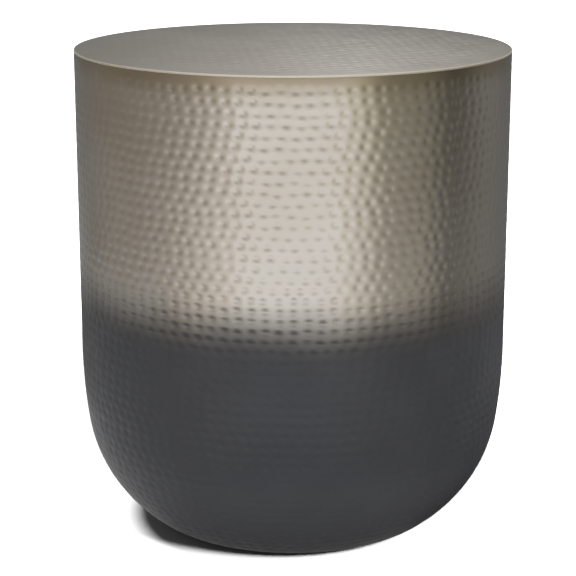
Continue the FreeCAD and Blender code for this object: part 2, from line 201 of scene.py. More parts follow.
def skin_points(lengths, angles):
    """Points of the dented skin, and the depth of the dents there."""
    radius, height, tilt = skin_line(lengths)
    field = dent_field(lengths, angles)
    inward = field + rim_turn(lengths)[:, None]
    ring_radius = radius[:, None] - inward * np.cos(tilt)[:, None]
    ring_height = height[:, None] + inward * np.sin(tilt)[:, None]
    return np.stack([ring_radius * np.sin(angles), -ring_radius * np.cos(angles), ring_height], axis=2), field


def dented_skin(lengths, columns):
    """Points, normals, dent depth and downward lean of the dented skin, as rings of points."""
    angles = np.arange(columns) * 2 * math.pi / columns
    points, field = skin_points(lengths, angles)
    turn = SLOPE_STEP / DRUM_RADIUS
    round_way = skin_points(lengths, angles + turn)[0] - skin_points(lengths, angles - turn)[0]
    down_way = skin_points(lengths + SLOPE_STEP, angles)[0] - skin_points(lengths - SLOPE_STEP, angles)[0]
    normals = np.cross(down_way, round_way)
    normals /= np.linalg.norm(normals, axis=2, keepdims=True)
    return points, normals, field / DENT_DEPTH, np.maximum(-normals[:, :, 2], 0)


def plain_rings(outline, columns):
    """Rings of points for an outline of radii and heights."""
    angles = np.arange(columns) * 2 * math.pi / columns
    radius, height = np.array(outline).T
    flat = np.ones(columns)
    return np.stack([
        radius[:, None] * np.sin(angles), -radius[:, None] * np.cos(angles), height[:, None] * flat], axis=2)


def ring_quads(ring_count, columns, left_open=()):
    """Faces between each ring and the next, and from the last ring back to the first."""
    column = np.arange(columns)
    following = (column + 1) % columns
    quads = []
    for ring in range(ring_count):
        if ring in left_open:
            continue
        below = (ring + 1) % ring_count
        quads.append(np.stack([
            ring * columns + column, below * columns + column,
            below * columns + following, ring * columns + following], axis=1))
    return np.concatenate(quads)


SHARP_ANGLE = math.radians(35)


def build_piece(name, points, faces, skin_faces=0, skin_normals=None, attributes=None):
    """Mesh object. The first faces may carry normals worked out for a larger surface than this piece."""
    mesh = bpy.data.meshes.new(name)
    mesh.from_pydata(points.tolist(), [], [list(map(int, face)) for face in faces])
    mesh.shade_smooth()
    mesh.set_sharp_from_angle(angle=SHARP_ANGLE)
    for key, values in (attributes or {}).items():
        layer = mesh.attributes.new(key, "FLOAT", "POINT")
        layer.data.foreach_set("value", values.astype(np.float32))
    if skin_faces:
        corners = np.concatenate([np.asarray(face) for face in faces[:skin_faces]])
        normals = np.zeros((len(mesh.loops), 3))
        normals[:len(corners)] = skin_normals[corners]
        mesh.normals_split_custom_set(normals.tolist())
    piece = bpy.data.objects.new(name, mesh)
    bpy.context.scene.collection.objects.link(piece)
    return piece


def padded_attribute(values, total):
    """Attribute of the skin's points, followed by zeros for the points that aren't on the skin."""
    full = np.zeros(total)
    full[:values.size] = values.ravel()
    return full


def make_upper_shell():
    """Hammered cylinder with a plain bore."""
    rows = round(SEAM_LENGTH / UPPER_STEP)
    skin, normals, dent, lean = dented_skin(np.linspace(0, SEAM_LENGTH, rows), UPPER_COLUMNS)
    bore = plain_rings([(DRUM_RADIUS - WALL, SEAM_HEIGHT), (DRUM_RADIUS - WALL, SHELL_TOP)], UPPER_COLUMNS)
    rings = np.concatenate([skin, bore])
    points = rings.reshape(-1, 3)
    faces = ring_quads(len(rings), UPPER_COLUMNS)
    piece = build_piece(
        "upper_shell_skin", points, faces, (rows - 1) * UPPER_COLUMNS, normals.reshape(-1, 3),
        {"dent": padded_attribute(dent, len(points)), "lean": padded_attribute(lean, len(points))})
    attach(piece, "drum")
    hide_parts("upper_shell")
    return piece


# The holes in the flange, for stems and screws turn about
HOLE_COUNT = 8
HOLE_SIDES = 24
STEM_HOLE = 0.0044
SCREW_HOLE = 0.0029
HOLE_CIRCLE = (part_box("leveller_sole_1")[0].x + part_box("leveller_sole_1")[1].x) / 2
LINING_STEP = 0.02


def flange_holes():
    """Circles of the stem and screw holes, turn about, each a list of points in plan."""
    circles = []
    for index in range(HOLE_COUNT):
        angle = index * 2 * math.pi / HOLE_COUNT
        hole = STEM_HOLE if index % 2 == 0 else SCREW_HOLE
        centre = (HOLE_CIRCLE * math.cos(angle), HOLE_CIRCLE * math.sin(angle))
        turns = np.arange(HOLE_SIDES) * 2 * math.pi / HOLE_SIDES
        circles.append(np.stack([centre[0] + hole * np.cos(turns), centre[1] + hole * np.sin(turns)], axis=1))
    return circles


def drilled_face(points, loops, facing):
    """Triangles that fill a flat ring with holes, all facing up or down."""
    order = [index for loop in loops for index in loop]
    outlines = [[Vector((*points[index][:2], 0)) for index in loop] for loop in loops]
    triangles = []
    for corner in tessellate_polygon(outlines):
        a, b, c = (order[index] for index in corner)
        ab = points[b] - points[a]
        ac = points[c] - points[a]
        upward = ab[0] * ac[1] - ab[1] * ac[0] > 0
        triangles.append((a, b, c) if upward == facing else (a, c, b))
    return triangles


def make_lower_bowl():
    """Hammered bowl with its lining, its folded foot and the drilled flange in the recess."""
    rows = round((SKIN_LENGTH - SEAM_LENGTH) / LOWER_STEP)
    lengths = np.linspace(SEAM_LENGTH, SKIN_LENGTH, rows)
    skin, normals, dent, lean = dented_skin(lengths, LOWER_COLUMNS)
    recess = float(skin_line(np.array([SKIN_LENGTH]))[0][0]) - FOLD_OUTSIDE
    lined = recess + WALL
    inner_floor = FLOOR_GAP + WALL
    flange_top = PLATE_TOP + WALL
    underside = [
        (recess, FLOOR_GAP + FOLD_OUTSIDE), (recess, PLATE_TOP - FOLD), (recess - FOLD, PLATE_TOP),
        (FLANGE_EDGE, PLATE_TOP), (FLANGE_EDGE, flange_top), (lined - FOLD_OUTSIDE, flange_top),
        (lined, flange_top - FOLD_OUTSIDE), (lined, inner_floor + FOLD), (lined + FOLD, inner_floor)]
    lining_rows = round((SKIN_LENGTH - SEAM_LENGTH) / LINING_STEP)
    lining = skin_line(np.linspace(SKIN_LENGTH - FOOT_FLAT, SEAM_LENGTH, lining_rows), WALL)
    outline = underside + list(zip(lining[0], lining[1]))
    rings = np.concatenate([skin, plain_rings(outline, LOWER_COLUMNS)])
    # The flange's two flat faces are left open here, and filled by drilled ones
    lower_face = rows + 2
    upper_face = rows + 4
    faces = ring_quads(len(rings), LOWER_COLUMNS, (lower_face, upper_face)).tolist()
    points = [Vector(point) for point in rings.reshape(-1, 3)]
    loops = {height: [] for height in (PLATE_TOP, flange_top)}
    for circle in flange_holes():
        for height, circles in loops.items():
            circles.append(list(range(len(points), len(points) + HOLE_SIDES)))
            points += [Vector((x, y, height)) for x, y in circle]
    for ring, height, facing in ((lower_face, PLATE_TOP, False), (upper_face, flange_top, True)):
        edges = [list(range(k * LOWER_COLUMNS, (k + 1) * LOWER_COLUMNS)) for k in (ring, ring + 1)]
        faces += drilled_face(points, edges + loops[height], facing)
    for low, high in zip(loops[PLATE_TOP], loops[flange_top]):
        for side in range(HOLE_SIDES):
            after = (side + 1) % HOLE_SIDES
            faces.append((low[side], high[side], high[after], low[after]))
    piece = build_piece(
        "lower_bowl_skin", np.array(points), faces, (rows - 1) * LOWER_COLUMNS, normals.reshape(-1, 3),
        {"dent": padded_attribute(dent, len(points)), "lean": padded_attribute(lean, len(points))})
    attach(piece, "drum")
    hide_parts("lower_bowl")
    return piece


# The top: straight rows of shallower dents that die out towards the edge
TOP_CELLS = 204
TOP_DEPTH = 0.00024
TOP_DEPTH_RANGE = (0.7, 1.25)
TOP_SPREAD = 0.0025
TOP_ROW_ANGLE = math.radians(38)
TOP_SMOOTH_FROM = 0.165
TOP_SMOOTH_TO = 0.196
EDGE_RADIUS = 0.0009
EDGE_STEPS = 5


def square_to_disc(cells):
    """Grid of points that fills a disc of radius 1 evenly, row by row."""
    line = np.linspace(-1, 1, cells + 1)
    x, y = np.meshgrid(line, line)
    wide = np.abs(x) >= np.abs(y)
    reach = np.where(wide, x, y)
    other = np.where(wide, y, x)
    turn = np.divide(other, reach, out=np.zeros_like(other), where=reach != 0) * math.pi / 4
    along = reach * np.cos(turn)
    across = reach * np.sin(turn)
    return np.where(wide, along, across), np.where(wide, across, along)


def top_dents(x, y):
    """Depth of the top's dents at points of the disc."""
    turn_cos = math.cos(TOP_ROW_ANGLE)
    turn_sin = math.sin(TOP_ROW_ANGLE)
    u = x * turn_cos + y * turn_sin
    v = y * turn_cos - x * turn_sin
    rows = math.ceil(2 * DRUM_RADIUS / ROW_PITCH)
    columns = math.ceil(2 * DRUM_RADIUS / DENT_PITCH)
    shift = dice.normal(0, DENT_JITTER, (rows, columns, 2))
    depth = TOP_DEPTH * dice.uniform(*TOP_DEPTH_RANGE, (rows, columns))
    field = np.zeros_like(x)
    row = np.floor((v + DRUM_RADIUS) / ROW_PITCH).astype(int)
    for row_step in (-1, 0, 1):
        near_row = np.clip(row + row_step, 0, rows - 1)
        stagger = 0.5 * (near_row % 2)
        column = np.floor((u + DRUM_RADIUS) / DENT_PITCH - stagger).astype(int)
        for column_step in (-1, 0, 1):
            near_column = np.clip(column + column_step, 0, columns - 1)
            off_u, off_v = np.moveaxis(shift[near_row, near_column], -1, 0)
            centre_u = (near_column + stagger + 0.5) * DENT_PITCH - DRUM_RADIUS + off_u
            centre_v = (near_row + 0.5) * ROW_PITCH - DRUM_RADIUS + off_v
            distance = (u - centre_u) ** 2 + (v - centre_v) ** 2
            field += depth[near_row, near_column] * dish(distance, TOP_SPREAD)
    fade = np.clip((TOP_SMOOTH_TO - np.hypot(x, y)) / (TOP_SMOOTH_TO - TOP_SMOOTH_FROM), 0, 1)
    return field * fade * fade * (3 - 2 * fade)


def make_top_sheet():
    """Hammered disc with a rounded edge and a plain underside."""
    flat_radius = DRUM_RADIUS - EDGE_RADIUS
    disc_x, disc_y = square_to_disc(TOP_CELLS)
    x = disc_x * flat_radius
    y = disc_y * flat_radius
    field = top_dents(x, y)
    face_points = np.stack([x, y, TABLE_HEIGHT - field], axis=2).reshape(-1, 3)
    width = TOP_CELLS + 1
    cell = (np.arange(TOP_CELLS)[:, None] * width + np.arange(TOP_CELLS)).ravel()
    face_quads = np.stack([cell, cell + 1, cell + width + 1, cell + width], axis=1).tolist()
    bottom_side = list(range(TOP_CELLS))
    right_side = [TOP_CELLS + k * width for k in range(TOP_CELLS)]
    top_side = [TOP_CELLS * width + TOP_CELLS - k for k in range(TOP_CELLS)]
    left_side = [(TOP_CELLS - k) * width for k in range(TOP_CELLS)]
    loop = bottom_side + right_side + top_side + left_side
    directions = face_points[loop][:, :2] / flat_radius
    points = [face_points]
    faces = face_quads
    previous = loop
    total = len(face_points)
    turns = np.linspace(0, math.pi / 2, EDGE_STEPS + 1)
    upper_arc = [(math.sin(turn), TABLE_HEIGHT - EDGE_RADIUS * (1 - math.cos(turn))) for turn in turns[1:]]
    lower_arc = [(math.cos(turn), SHELL_TOP + EDGE_RADIUS * (1 - math.sin(turn))) for turn in turns]
    for out, height in upper_arc + lower_arc:
        ring = directions * (flat_radius + EDGE_RADIUS * out)
        points.append(np.column_stack([ring, np.full(len(ring), height)]))
        current = list(range(total, total + len(loop)))
        total += len(loop)
        for k in range(len(loop)):
            after = (k + 1) % len(loop)
            faces.append((previous[k], current[k], current[after], previous[after]))
        previous = current
    points.append(np.array([[0, 0, SHELL_TOP]]))
    faces += [(previous[k], total, previous[(k + 1) % len(loop)]) for k in range(len(loop))]
    dent = padded_attribute(field / TOP_DEPTH, total + 1)
    piece = build_piece("top_sheet_skin", np.concatenate(points), faces, attributes={"dent": dent})
    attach(piece, "drum")
    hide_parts("top_sheet")
    return piece


# The levellers: sizes as in the solids, with the thread and the rounded edges that those leave out
LEVELLERS = (1, 2, 3, 4)
PAD_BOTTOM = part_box("leveller_pad_1")[0].z
PAD_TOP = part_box("leveller_pad_1")[1].z
PAD_RADIUS = (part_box("leveller_pad_1")[1].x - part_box("leveller_pad_1")[0].x) / 2
PAD_TOP_RADIUS = 0.0085
PAD_RIM = 0.0025
PAD_ROUNDING = 0.0008
PAD_COLUMNS = 64
SOLE_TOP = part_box("leveller_sole_1")[1].z
SOLE_RADIUS = (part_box("leveller_sole_1")[1].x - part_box("leveller_sole_1")[0].x) / 2
CLEARANCE = 0.0001
HOME_GAP = 0.0003
DISC_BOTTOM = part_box("leveller_stem_1")[0].z
DISC_THICKNESS = 0.0024
DISC_TOP = DISC_BOTTOM + DISC_THICKNESS
DISC_RADIUS = 0.006
NECK_RADIUS = 0.0035
COLLAR_BOTTOM = PAD_TOP + HOME_GAP
COLLAR_TOP = PLATE_BOTTOM - HOME_GAP
COLLAR_APOTHEM = 0.0065
COLLAR_FACE_SHARE = 0.95
COLLAR_FACE = COLLAR_FACE_SHARE * COLLAR_APOTHEM
COLLAR_CUT = math.tan(math.radians(30))
STEM_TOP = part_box("leveller_stem_1")[1].z
STEM_CHAMFER = 0.001
THREAD_RADIUS = 0.004
THREAD_PITCH = 0.00125
THREAD_DEPTH = 0.5413 * THREAD_PITCH
THREAD_ROOT = THREAD_RADIUS - THREAD_DEPTH
THREAD_RUNOUT = 0.0006
THREAD_COLUMNS = 24
# Where the thread's crest ends and its root starts, on the way from crest (0) to root (1)
CREST_END = 1 / 8
ROOT_START = 3 / 4


def rounded(outline, steps=4):
    """Outline of radii and heights with each corner rounded by its third number."""
    points = []
    for index, (radius, height, rounding) in enumerate(outline):
        corner = np.array([radius, height])
        if not rounding:
            points.append(corner)
            continue
        sides = [np.array(outline[index + way][:2]) - corner for way in (-1, 1)]
        first, last = (corner + side * rounding / np.linalg.norm(side) for side in sides)
        for share in np.linspace(0, 1, steps + 1):
            points.append((1 - share) ** 2 * first + 2 * share * (1 - share) * corner + share ** 2 * last)
    return points


def turned_piece(name, rings, number):
    """Closed piece of a leveller, from its top ring over the outside to its bottom ring, at its place."""
    ring_count, columns = rings.shape[:2]
    ends = [(0, 0, rings[0, 0, 2]), (0, 0, rings[-1, 0, 2])]
    low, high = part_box(f"leveller_sole_{number}")
    spot = np.array([(low.x + high.x) / 2, (low.y + high.y) / 2, 0])
    points = np.concatenate([rings.reshape(-1, 3), ends]) + spot
    faces = ring_quads(ring_count, columns, (ring_count - 1,)).tolist()
    top_centre = ring_count * columns
    last_ring = (ring_count - 1) * columns
    for column in range(columns):
        after = (column + 1) % columns
        faces.append((top_centre, column, after))
        faces.append((top_centre + 1, last_ring + after, last_ring + column))
    return build_piece(name, points, faces)


def make_pad(number):
    """Moulded foot of a leveller with rounded edges, the socket for the stem's disc and the sole's seat."""
    socket = DISC_RADIUS + CLEARANCE
    neck = NECK_RADIUS + CLEARANCE
    seat = SOLE_RADIUS + CLEARANCE
    outline = rounded([
        (socket, DISC_BOTTOM - CLEARANCE, 0), (socket, DISC_TOP + CLEARANCE, 0),
        (neck, DISC_TOP + CLEARANCE, 0), (neck, PAD_TOP, 0), (PAD_TOP_RADIUS, PAD_TOP, PAD_ROUNDING),
        (PAD_RADIUS, PAD_BOTTOM + PAD_RIM, PAD_ROUNDING), (PAD_RADIUS, PAD_BOTTOM, PAD_ROUNDING / 2),
        (seat, PAD_BOTTOM, 0), (seat, SOLE_TOP, 0)])
    piece = turned_piece(f"rounded_pad_{number}", plain_rings(outline, PAD_COLUMNS), number)
    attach(piece, f"leveller_{number}_foot")
    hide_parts(f"leveller_pad_{number}")
    return piece


def thread_rings(angles):
    """Radii and heights of the threaded shank from its chamfered end down to the collar, ring by ring."""
    step = THREAD_PITCH / THREAD_COLUMNS
    heights = np.append(np.arange(STEM_TOP, COLLAR_TOP, -step), COLLAR_TOP)[:, None]
    turns = heights / THREAD_PITCH - angles / (2 * math.pi)
    from_crest = 2 * np.abs(turns % 1 - 0.5)
    radius = np.interp(from_crest, (CREST_END, ROOT_START), (THREAD_RADIUS, THREAD_ROOT))
    chamfer = THREAD_RADIUS - STEM_CHAMFER + STEM_TOP - heights
    runout = THREAD_ROOT + np.maximum(heights - COLLAR_TOP - THREAD_RUNOUT, 0)
    return np.minimum(radius, np.minimum(chamfer, runout)), heights + 0 * angles


def make_stem(number):
    """Screw stem: threaded shank, chamfered hexagon collar, neck and the disc that the pad holds."""
    low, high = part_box(f"leveller_stem_{number}")
    # The collar's corners point the way in which its box is wider
    corner = math.pi / 2 if high.x - low.x > high.y - low.y else 0
    angles = np.arange(THREAD_COLUMNS) * 2 * math.pi / THREAD_COLUMNS
    radii, heights = (list(grid) for grid in thread_rings(angles))
    off_flat = (angles - corner) % (math.pi / 3) - math.pi / 6
    hexagon = COLLAR_APOTHEM / np.cos(off_flat)
    cut = (hexagon - COLLAR_FACE) * COLLAR_CUT
    around = np.ones(THREAD_COLUMNS)
    for radius, height in (
            (COLLAR_FACE, COLLAR_TOP), (hexagon, COLLAR_TOP - cut), (hexagon, COLLAR_BOTTOM + cut),
            (COLLAR_FACE, COLLAR_BOTTOM), (NECK_RADIUS, COLLAR_BOTTOM), (NECK_RADIUS, DISC_TOP),
            (DISC_RADIUS, DISC_TOP), (DISC_RADIUS, DISC_BOTTOM)):
        radii.append(radius * around)
        heights.append(height * around)
    radii = np.array(radii)
    rings = np.stack([radii * np.sin(angles), -radii * np.cos(angles), np.array(heights)], axis=2)
    piece = turned_piece(f"threaded_stem_{number}", rings, number)
    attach(piece, f"leveller_{number}_stem")
    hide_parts(f"leveller_stem_{number}")
    return piece


def add_node(tree, kind, settings=None, inputs=None):
    """Add a node, set its properties, and set or link its inputs."""
    made = tree.nodes.new(kind)
    for key, setting in (settings or {}).items():
        setattr(made, key, setting)
    for key, source in (inputs or {}).items():
        if isinstance(source, bpy.types.NodeSocket):
            tree.links.new(source, made.inputs[key])
        else:
            made.inputs[key].default_value = source
    return made


def place(tree):
    """Coordinates on the piece itself, in metres."""
    return add_node(tree, "ShaderNodeTexCoord").outputs["Object"]


def noise(tree, scale, detail=2.0, stretch=(1, 1, 1)):
    """Soft noise from 0 to 1 with so many grains a metre."""
    spot = add_node(tree, "ShaderNodeMapping", inputs={"Vector": place(tree), "Scale": stretch})
    made = add_node(tree, "ShaderNodeTexNoise", inputs={
        "Vector": spot.outputs["Vector"], "Scale": scale, "Detail": detail})
    return made.outputs["Fac"]


def remap(tree, source, low, high, to_low=0.0, to_high=1.0, smooth=False):
    """Carry one range over to another, held at both ends."""
    course = "SMOOTHSTEP" if smooth else "LINEAR"
    made = add_node(tree, "ShaderNodeMapRange", {"interpolation_type": course}, {
        "Value": source, "From Min": low, "From Max": high, "To Min": to_low, "To Max": to_high})
    return made.outputs["Result"]


# The levels between which nearly all of the noise lies
NOISE_LOW = 0.3
NOISE_HIGH = 0.7


def wander(tree, grain, detail, low, high, stretch=(1, 1, 1)):
    """Noise that wanders over the whole range from low to high."""
    return remap(tree, noise(tree, grain, detail, stretch), NOISE_LOW, NOISE_HIGH, low, high)


def math_node(tree, operation, first, second):
    """One step of arithmetic on two values."""
    return add_node(tree, "ShaderNodeMath", {"operation": operation}, {0: first, 1: second}).outputs["Value"]


def blend_colour(tree, share, first, second):
    """Mix of two colours, each a socket or three numbers."""
    inputs = {0: share}
    for slot, colour in ((6, first), (7, second)):
        inputs[slot] = colour if isinstance(colour, bpy.types.NodeSocket) else (*colour, 1)
    return add_node(tree, "ShaderNodeMix", {"data_type": "RGBA"}, inputs).outputs[2]


def blend_value(tree, share, first, second):
    """Mix of two values."""
    return add_node(tree, "ShaderNodeMix", inputs={0: share, 2: first, 3: second}).outputs[0]


def attribute(tree, name):
    """A value kept on the piece's points."""
    return add_node(tree, "ShaderNodeAttribute", {"attribute_name": name}).outputs["Fac"]


def bump(tree, height, strength, distance):
    """Fine relief that is too small to model."""
    made = add_node(tree, "ShaderNodeBump", inputs={
        "Height": height, "Strength": strength, "Distance": distance})
    return made.outputs["Normal"]


def new_finish(name, colour, roughness, metallic=0.0, normal=None, **constants):
    """Material whose colour, roughness, metalness and relief are made by functions of its node tree."""
    material = bpy.data.materials.new(name)
    material.use_nodes = True
    tree = material.node_tree
    shader = tree.nodes["Principled BSDF"]
    sources = {"Base Color": colour, "Roughness": roughness, "Metallic": metallic, "Normal": normal}
    for key, source in sources.items():
        if source is None:
            continue
        made = source(tree) if callable(source) else source
        if isinstance(made, bpy.types.NodeSocket):
            tree.links.new(made, shader.inputs[key])
        else:
            shader.inputs[key].default_value = made
    for key, constant in constants.items():
        shader.inputs[key.replace("_", " ").title().replace("Ior", "IOR")].default_value = constant
    return material


# The nickel: its tones, its patches, and a darker, browner strip under the rim, which is painted shade.
# Grains are so many a metre
NICKEL_PALE = (0.575, 0.543, 0.5)
NICKEL_WARM = (0.51, 0.463, 0.402)
NICKEL_DENT = (0.4, 0.36, 0.305)
NICKEL_RIM_SHADE = (0.38, 0.32, 0.235)
PATCH_GRAIN = 9
PATCH_LEVELS = (0.4, 0.7)
RIM_SHADE_GRAIN = 26
RIM_SHADE_HEIGHT = 0.023
RIM_SHADE_WAVE = 0.003
RIM_SHADE_SHARE = 0.85
WORN_SHARE = 0.12
SATIN_GRAIN = 60
NICKEL_ROUGHNESS = (0.18, 0.23)
SHEET_GRAIN = 1500
SHEET_RELIEF = 0.06
SHEET_DEPTH = 0.0002

# The pale edge of the top sheet: polished metal, made paler still by a painted highlight
EDGE_HIGHLIGHT_COLOUR = (0.8, 0.75, 0.66)
EDGE_ROUGHNESS = 0.68
EDGE_START = DRUM_RADIUS - 0.0012
EDGE_FULL = DRUM_RADIUS - 0.0004

# The lacquer: its tones, and the heights between which it fades out; it reaches higher where a dent faces
# down, which paints shade into the dents
GRAPHITE = (0.0219, 0.0225, 0.0255)
GRAPHITE_PALE = (0.0309, 0.0316, 0.0351)
GRAPHITE_GRAIN = 22
FADE_TOP = 0.27
FADE_END = 0.192
FADE_POWER = 2.2
FADE_SHADE_LIFT = 0.08
FADE_GRAIN = 14
FADE_WAVE = 0.004
LACQUER_GRAIN = 90
LACQUER_ROUGHNESS = (0.4, 0.48)
LACQUER_GLOSS = 0.28
# How bright the lacquer is against the nickel, which weighs the two where they mix
LACQUER_TO_NICKEL = 0.05


def height_on(tree):
    """Height above the floor."""
    return add_node(tree, "ShaderNodeSeparateXYZ", inputs={0: place(tree)}).outputs["Z"]


def nickel_colour(tree):
    """Warm satin nickel, darker and browner in patches and in the dents, with painted shade in a strip under
    the rim.
    """
    patches = remap(tree, noise(tree, PATCH_GRAIN, 3), *PATCH_LEVELS)
    plain = blend_colour(tree, patches, NICKEL_PALE, NICKEL_WARM)
    # Painted shade: the nickel turns darker and browner in a strip just under the rim
    wave = wander(tree, RIM_SHADE_GRAIN, 4, -RIM_SHADE_WAVE, RIM_SHADE_WAVE)
    level = math_node(tree, "ADD", height_on(tree), wave)
    rim_shade = remap(tree, level, SHELL_TOP - RIM_SHADE_HEIGHT, SHELL_TOP, 0, RIM_SHADE_SHARE, smooth=True)
    below_top = math_node(tree, "LESS_THAN", height_on(tree), SHELL_TOP)
    sheet = blend_colour(tree, math_node(tree, "MULTIPLY", rim_shade, below_top), plain, NICKEL_RIM_SHADE)
    worn = math_node(tree, "MULTIPLY", attribute(tree, "dent"), WORN_SHARE)
    return blend_colour(tree, worn, sheet, NICKEL_DENT)


def nickel_roughness(tree):
    """Satin, a little uneven."""
    return wander(tree, SATIN_GRAIN, 4, *NICKEL_ROUGHNESS)


def sheet_grain(tree):
    """Fine grain of the sheet, which shows through its finish."""
    return bump(tree, noise(tree, SHEET_GRAIN, 2), SHEET_RELIEF, SHEET_DEPTH)


def lacquer_share(tree):
    """How much lacquer lies on the sheet: none above the fade, and more where a dent faces down, as painted
    shade on the dents' upper sides.
    """
    # Painted shade: facets that face down get the darker lacquer higher up
    shade_lift = math_node(tree, "MULTIPLY", attribute(tree, "lean"), FADE_SHADE_LIFT)
    wave = wander(tree, FADE_GRAIN, 3, -FADE_WAVE, FADE_WAVE)
    level = math_node(tree, "ADD", math_node(tree, "SUBTRACT", height_on(tree), shade_lift), wave)
    return remap(tree, level, FADE_TOP, FADE_END, smooth=True)


def bare_metal(tree):
    """How much of the metal shows through the lacquer."""
    bare = math_node(tree, "SUBTRACT", 1.0, lacquer_share(tree))
    return math_node(tree, "POWER", bare, FADE_POWER)


def two_tone(name):
    """Nickel above, graphite lacquer below, with a soft fade between them."""
    def colour(tree):
        lacquer = blend_colour(tree, noise(tree, GRAPHITE_GRAIN, 4), GRAPHITE, GRAPHITE_PALE)
        return blend_colour(tree, bare_metal(tree), lacquer, nickel_colour(tree))

    def roughness(tree):
        satin = wander(tree, LACQUER_GRAIN, 3, *LACQUER_ROUGHNESS)
        return blend_value(tree, lacquer_share(tree), nickel_roughness(tree), satin)

    def metallic(tree):
        bare = bare_metal(tree)
        return math_node(tree, "DIVIDE", bare, blend_value(tree, bare, LACQUER_TO_NICKEL, 1.0))

    return new_finish(name, colour, roughness, metallic, sheet_grain, specular_ior_level=LACQUER_GLOSS)


def top_nickel():
    """Nickel of the top sheet, with a pale line along its edge that is partly polish and partly a painted
    highlight.
    """
    def edge(tree):
        in_plan = {0: place(tree), 1: (1, 1, 0)}
        spot = add_node(tree, "ShaderNodeVectorMath", {"operation": "MULTIPLY"}, in_plan)
        out = add_node(tree, "ShaderNodeVectorMath", {"operation": "LENGTH"}, {0: spot.outputs["Vector"]})
        return remap(tree, out.outputs["Value"], EDGE_START, EDGE_FULL)

    def colour(tree):
        # Painted highlight: the edge's pale colour stands in for a glint along it
        return blend_colour(tree, edge(tree), nickel_colour(tree), EDGE_HIGHLIGHT_COLOUR)

    def roughness(tree):
        return blend_value(tree, edge(tree), nickel_roughness(tree), EDGE_ROUGHNESS)

    return new_finish("top_nickel", colour, roughness, 1.0, sheet_grain)


# Finishes of the inner pieces and levellers: two tones, grains a metre, roughness, relief, metal, stretch
PLAIN_FINISHES = {
    "core_board": ((0.36, 0.25, 0.15), (0.52, 0.39, 0.25), 900, (0.8, 0.95), 0.3),
    "mill_steel": ((0.3, 0.3, 0.31), (0.46, 0.46, 0.47), 300, (0.38, 0.55), 0.1, 1.0, (1, 1, 12)),
    "black_plate": ((0.02, 0.02, 0.022), (0.034, 0.034, 0.037), 1800, (0.5, 0.62), 0.5),
    "zinc_steel": ((0.56, 0.57, 0.6), (0.68, 0.68, 0.67), 250, (0.24, 0.36), 0.08, 1.0),
    "nylon": ((0.018, 0.018, 0.019), (0.03, 0.03, 0.032), 2400, (0.45, 0.58), 0.35),
    "sole_rubber": ((0.08, 0.08, 0.08), (0.13, 0.13, 0.128), 2000, (0.8, 0.95), 0.4),
}
SPECKLE_DEPTH = 0.0003


def speckled(name, first, second, grain, roughness, relief, metallic=0.0, stretch=(1, 1, 1)):
    """Finish with two tones in fine grains and a slight relief."""
    return new_finish(
        name,
        lambda tree: blend_colour(tree, wander(tree, grain, 4, 0.0, 1.0, stretch), first, second),
        lambda tree: wander(tree, grain / 2, 3, *roughness, stretch),
        metallic,
        lambda tree: bump(tree, noise(tree, grain, 3, stretch), relief, SPECKLE_DEPTH))


def dress_nodes(finishes):
    """Give the pieces that keep their own solids their finishes."""
    for subpart in frame["record"]["subparts"]:
        slot = subpart["material_slot"]
        if slot in finishes:
            mesh = nodes[subpart["node"]].data
            mesh.materials.clear()
            mesh.materials.append(finishes[slot])


# The camera, fitted to the outline in the photograph
CAMERA_DISTANCE = 1.6469
CAMERA_HEIGHT = 0.6564
CAMERA_SIDE = -0.00457
CAMERA_PITCH = math.radians(14.71)
CAMERA_LENS = 110.34
CAMERA_SENSOR = 36


def add_camera():
    """Camera at the photograph's place, looking slightly down at the front."""
    camera = bpy.data.objects.new("camera", bpy.data.cameras.new("camera"))
    bpy.context.scene.collection.objects.link(camera)
    camera.data.lens = CAMERA_LENS
    camera.data.sensor_width = CAMERA_SENSOR
    camera.location = (CAMERA_SIDE, -CAMERA_DISTANCE, CAMERA_HEIGHT)
    camera.rotation_euler = (math.pi / 2 - CAMERA_PITCH, 0, 0)
    bpy.context.scene.camera = camera


# The surround's soft light on the table
AMBIENT = 0.24


def seen_directly(tree):
    """1 for rays from the camera and for those mirrored or let through, 0 for the rest."""
    path = add_node(tree, "ShaderNodeLightPath").outputs
    mirrored = math_node(tree, "MAXIMUM", path["Is Glossy Ray"], path["Is Transmission Ray"])
    return math_node(tree, "MAXIMUM", path["Is Camera Ray"], mirrored)


def add_world():
    """White surround, with a weaker soft light of its own."""
    world = bpy.data.worlds.new("surround")
    bpy.context.scene.world = world
    world.use_nodes = True
    tree = world.node_tree
    ground = tree.nodes["Background"]
    ground.inputs["Color"].default_value = (1, 1, 1, 1)
    level = blend_value(tree, seen_directly(tree), AMBIENT, 1.0)
    tree.links.new(level, ground.inputs["Strength"])


FLOOR_REACH = 25.0
# The floor's grey under its own lamps: to the camera white under either, to other rays white under both
FLOOR_SHOWN = 0.45
FLOOR_SPILL = 0.22


def floor_colour(tree):
    """Grey that the floor's lamps make white, and darker to rays that carry its light to the table."""
    seen = add_node(tree, "ShaderNodeLightPath").outputs["Is Camera Ray"]
    return blend_colour(tree, seen, [FLOOR_SPILL] * 3, [FLOOR_SHOWN] * 3)


def add_floor():
    """Plain white floor."""
    corners = [(-FLOOR_REACH, -FLOOR_REACH, 0), (FLOOR_REACH, -FLOOR_REACH, 0),
               (FLOOR_REACH, FLOOR_REACH, 0), (-FLOOR_REACH, FLOOR_REACH, 0)]
    mesh = bpy.data.meshes.new("floor")
    mesh.from_pydata(corners, [], [(0, 1, 2, 3)])
    floor = bpy.data.objects.new("floor", mesh)
    bpy.context.scene.collection.objects.link(floor)
    mesh.materials.append(new_finish("floor_white", floor_colour, 1.0, specular_ior_level=0.0))
    return floor


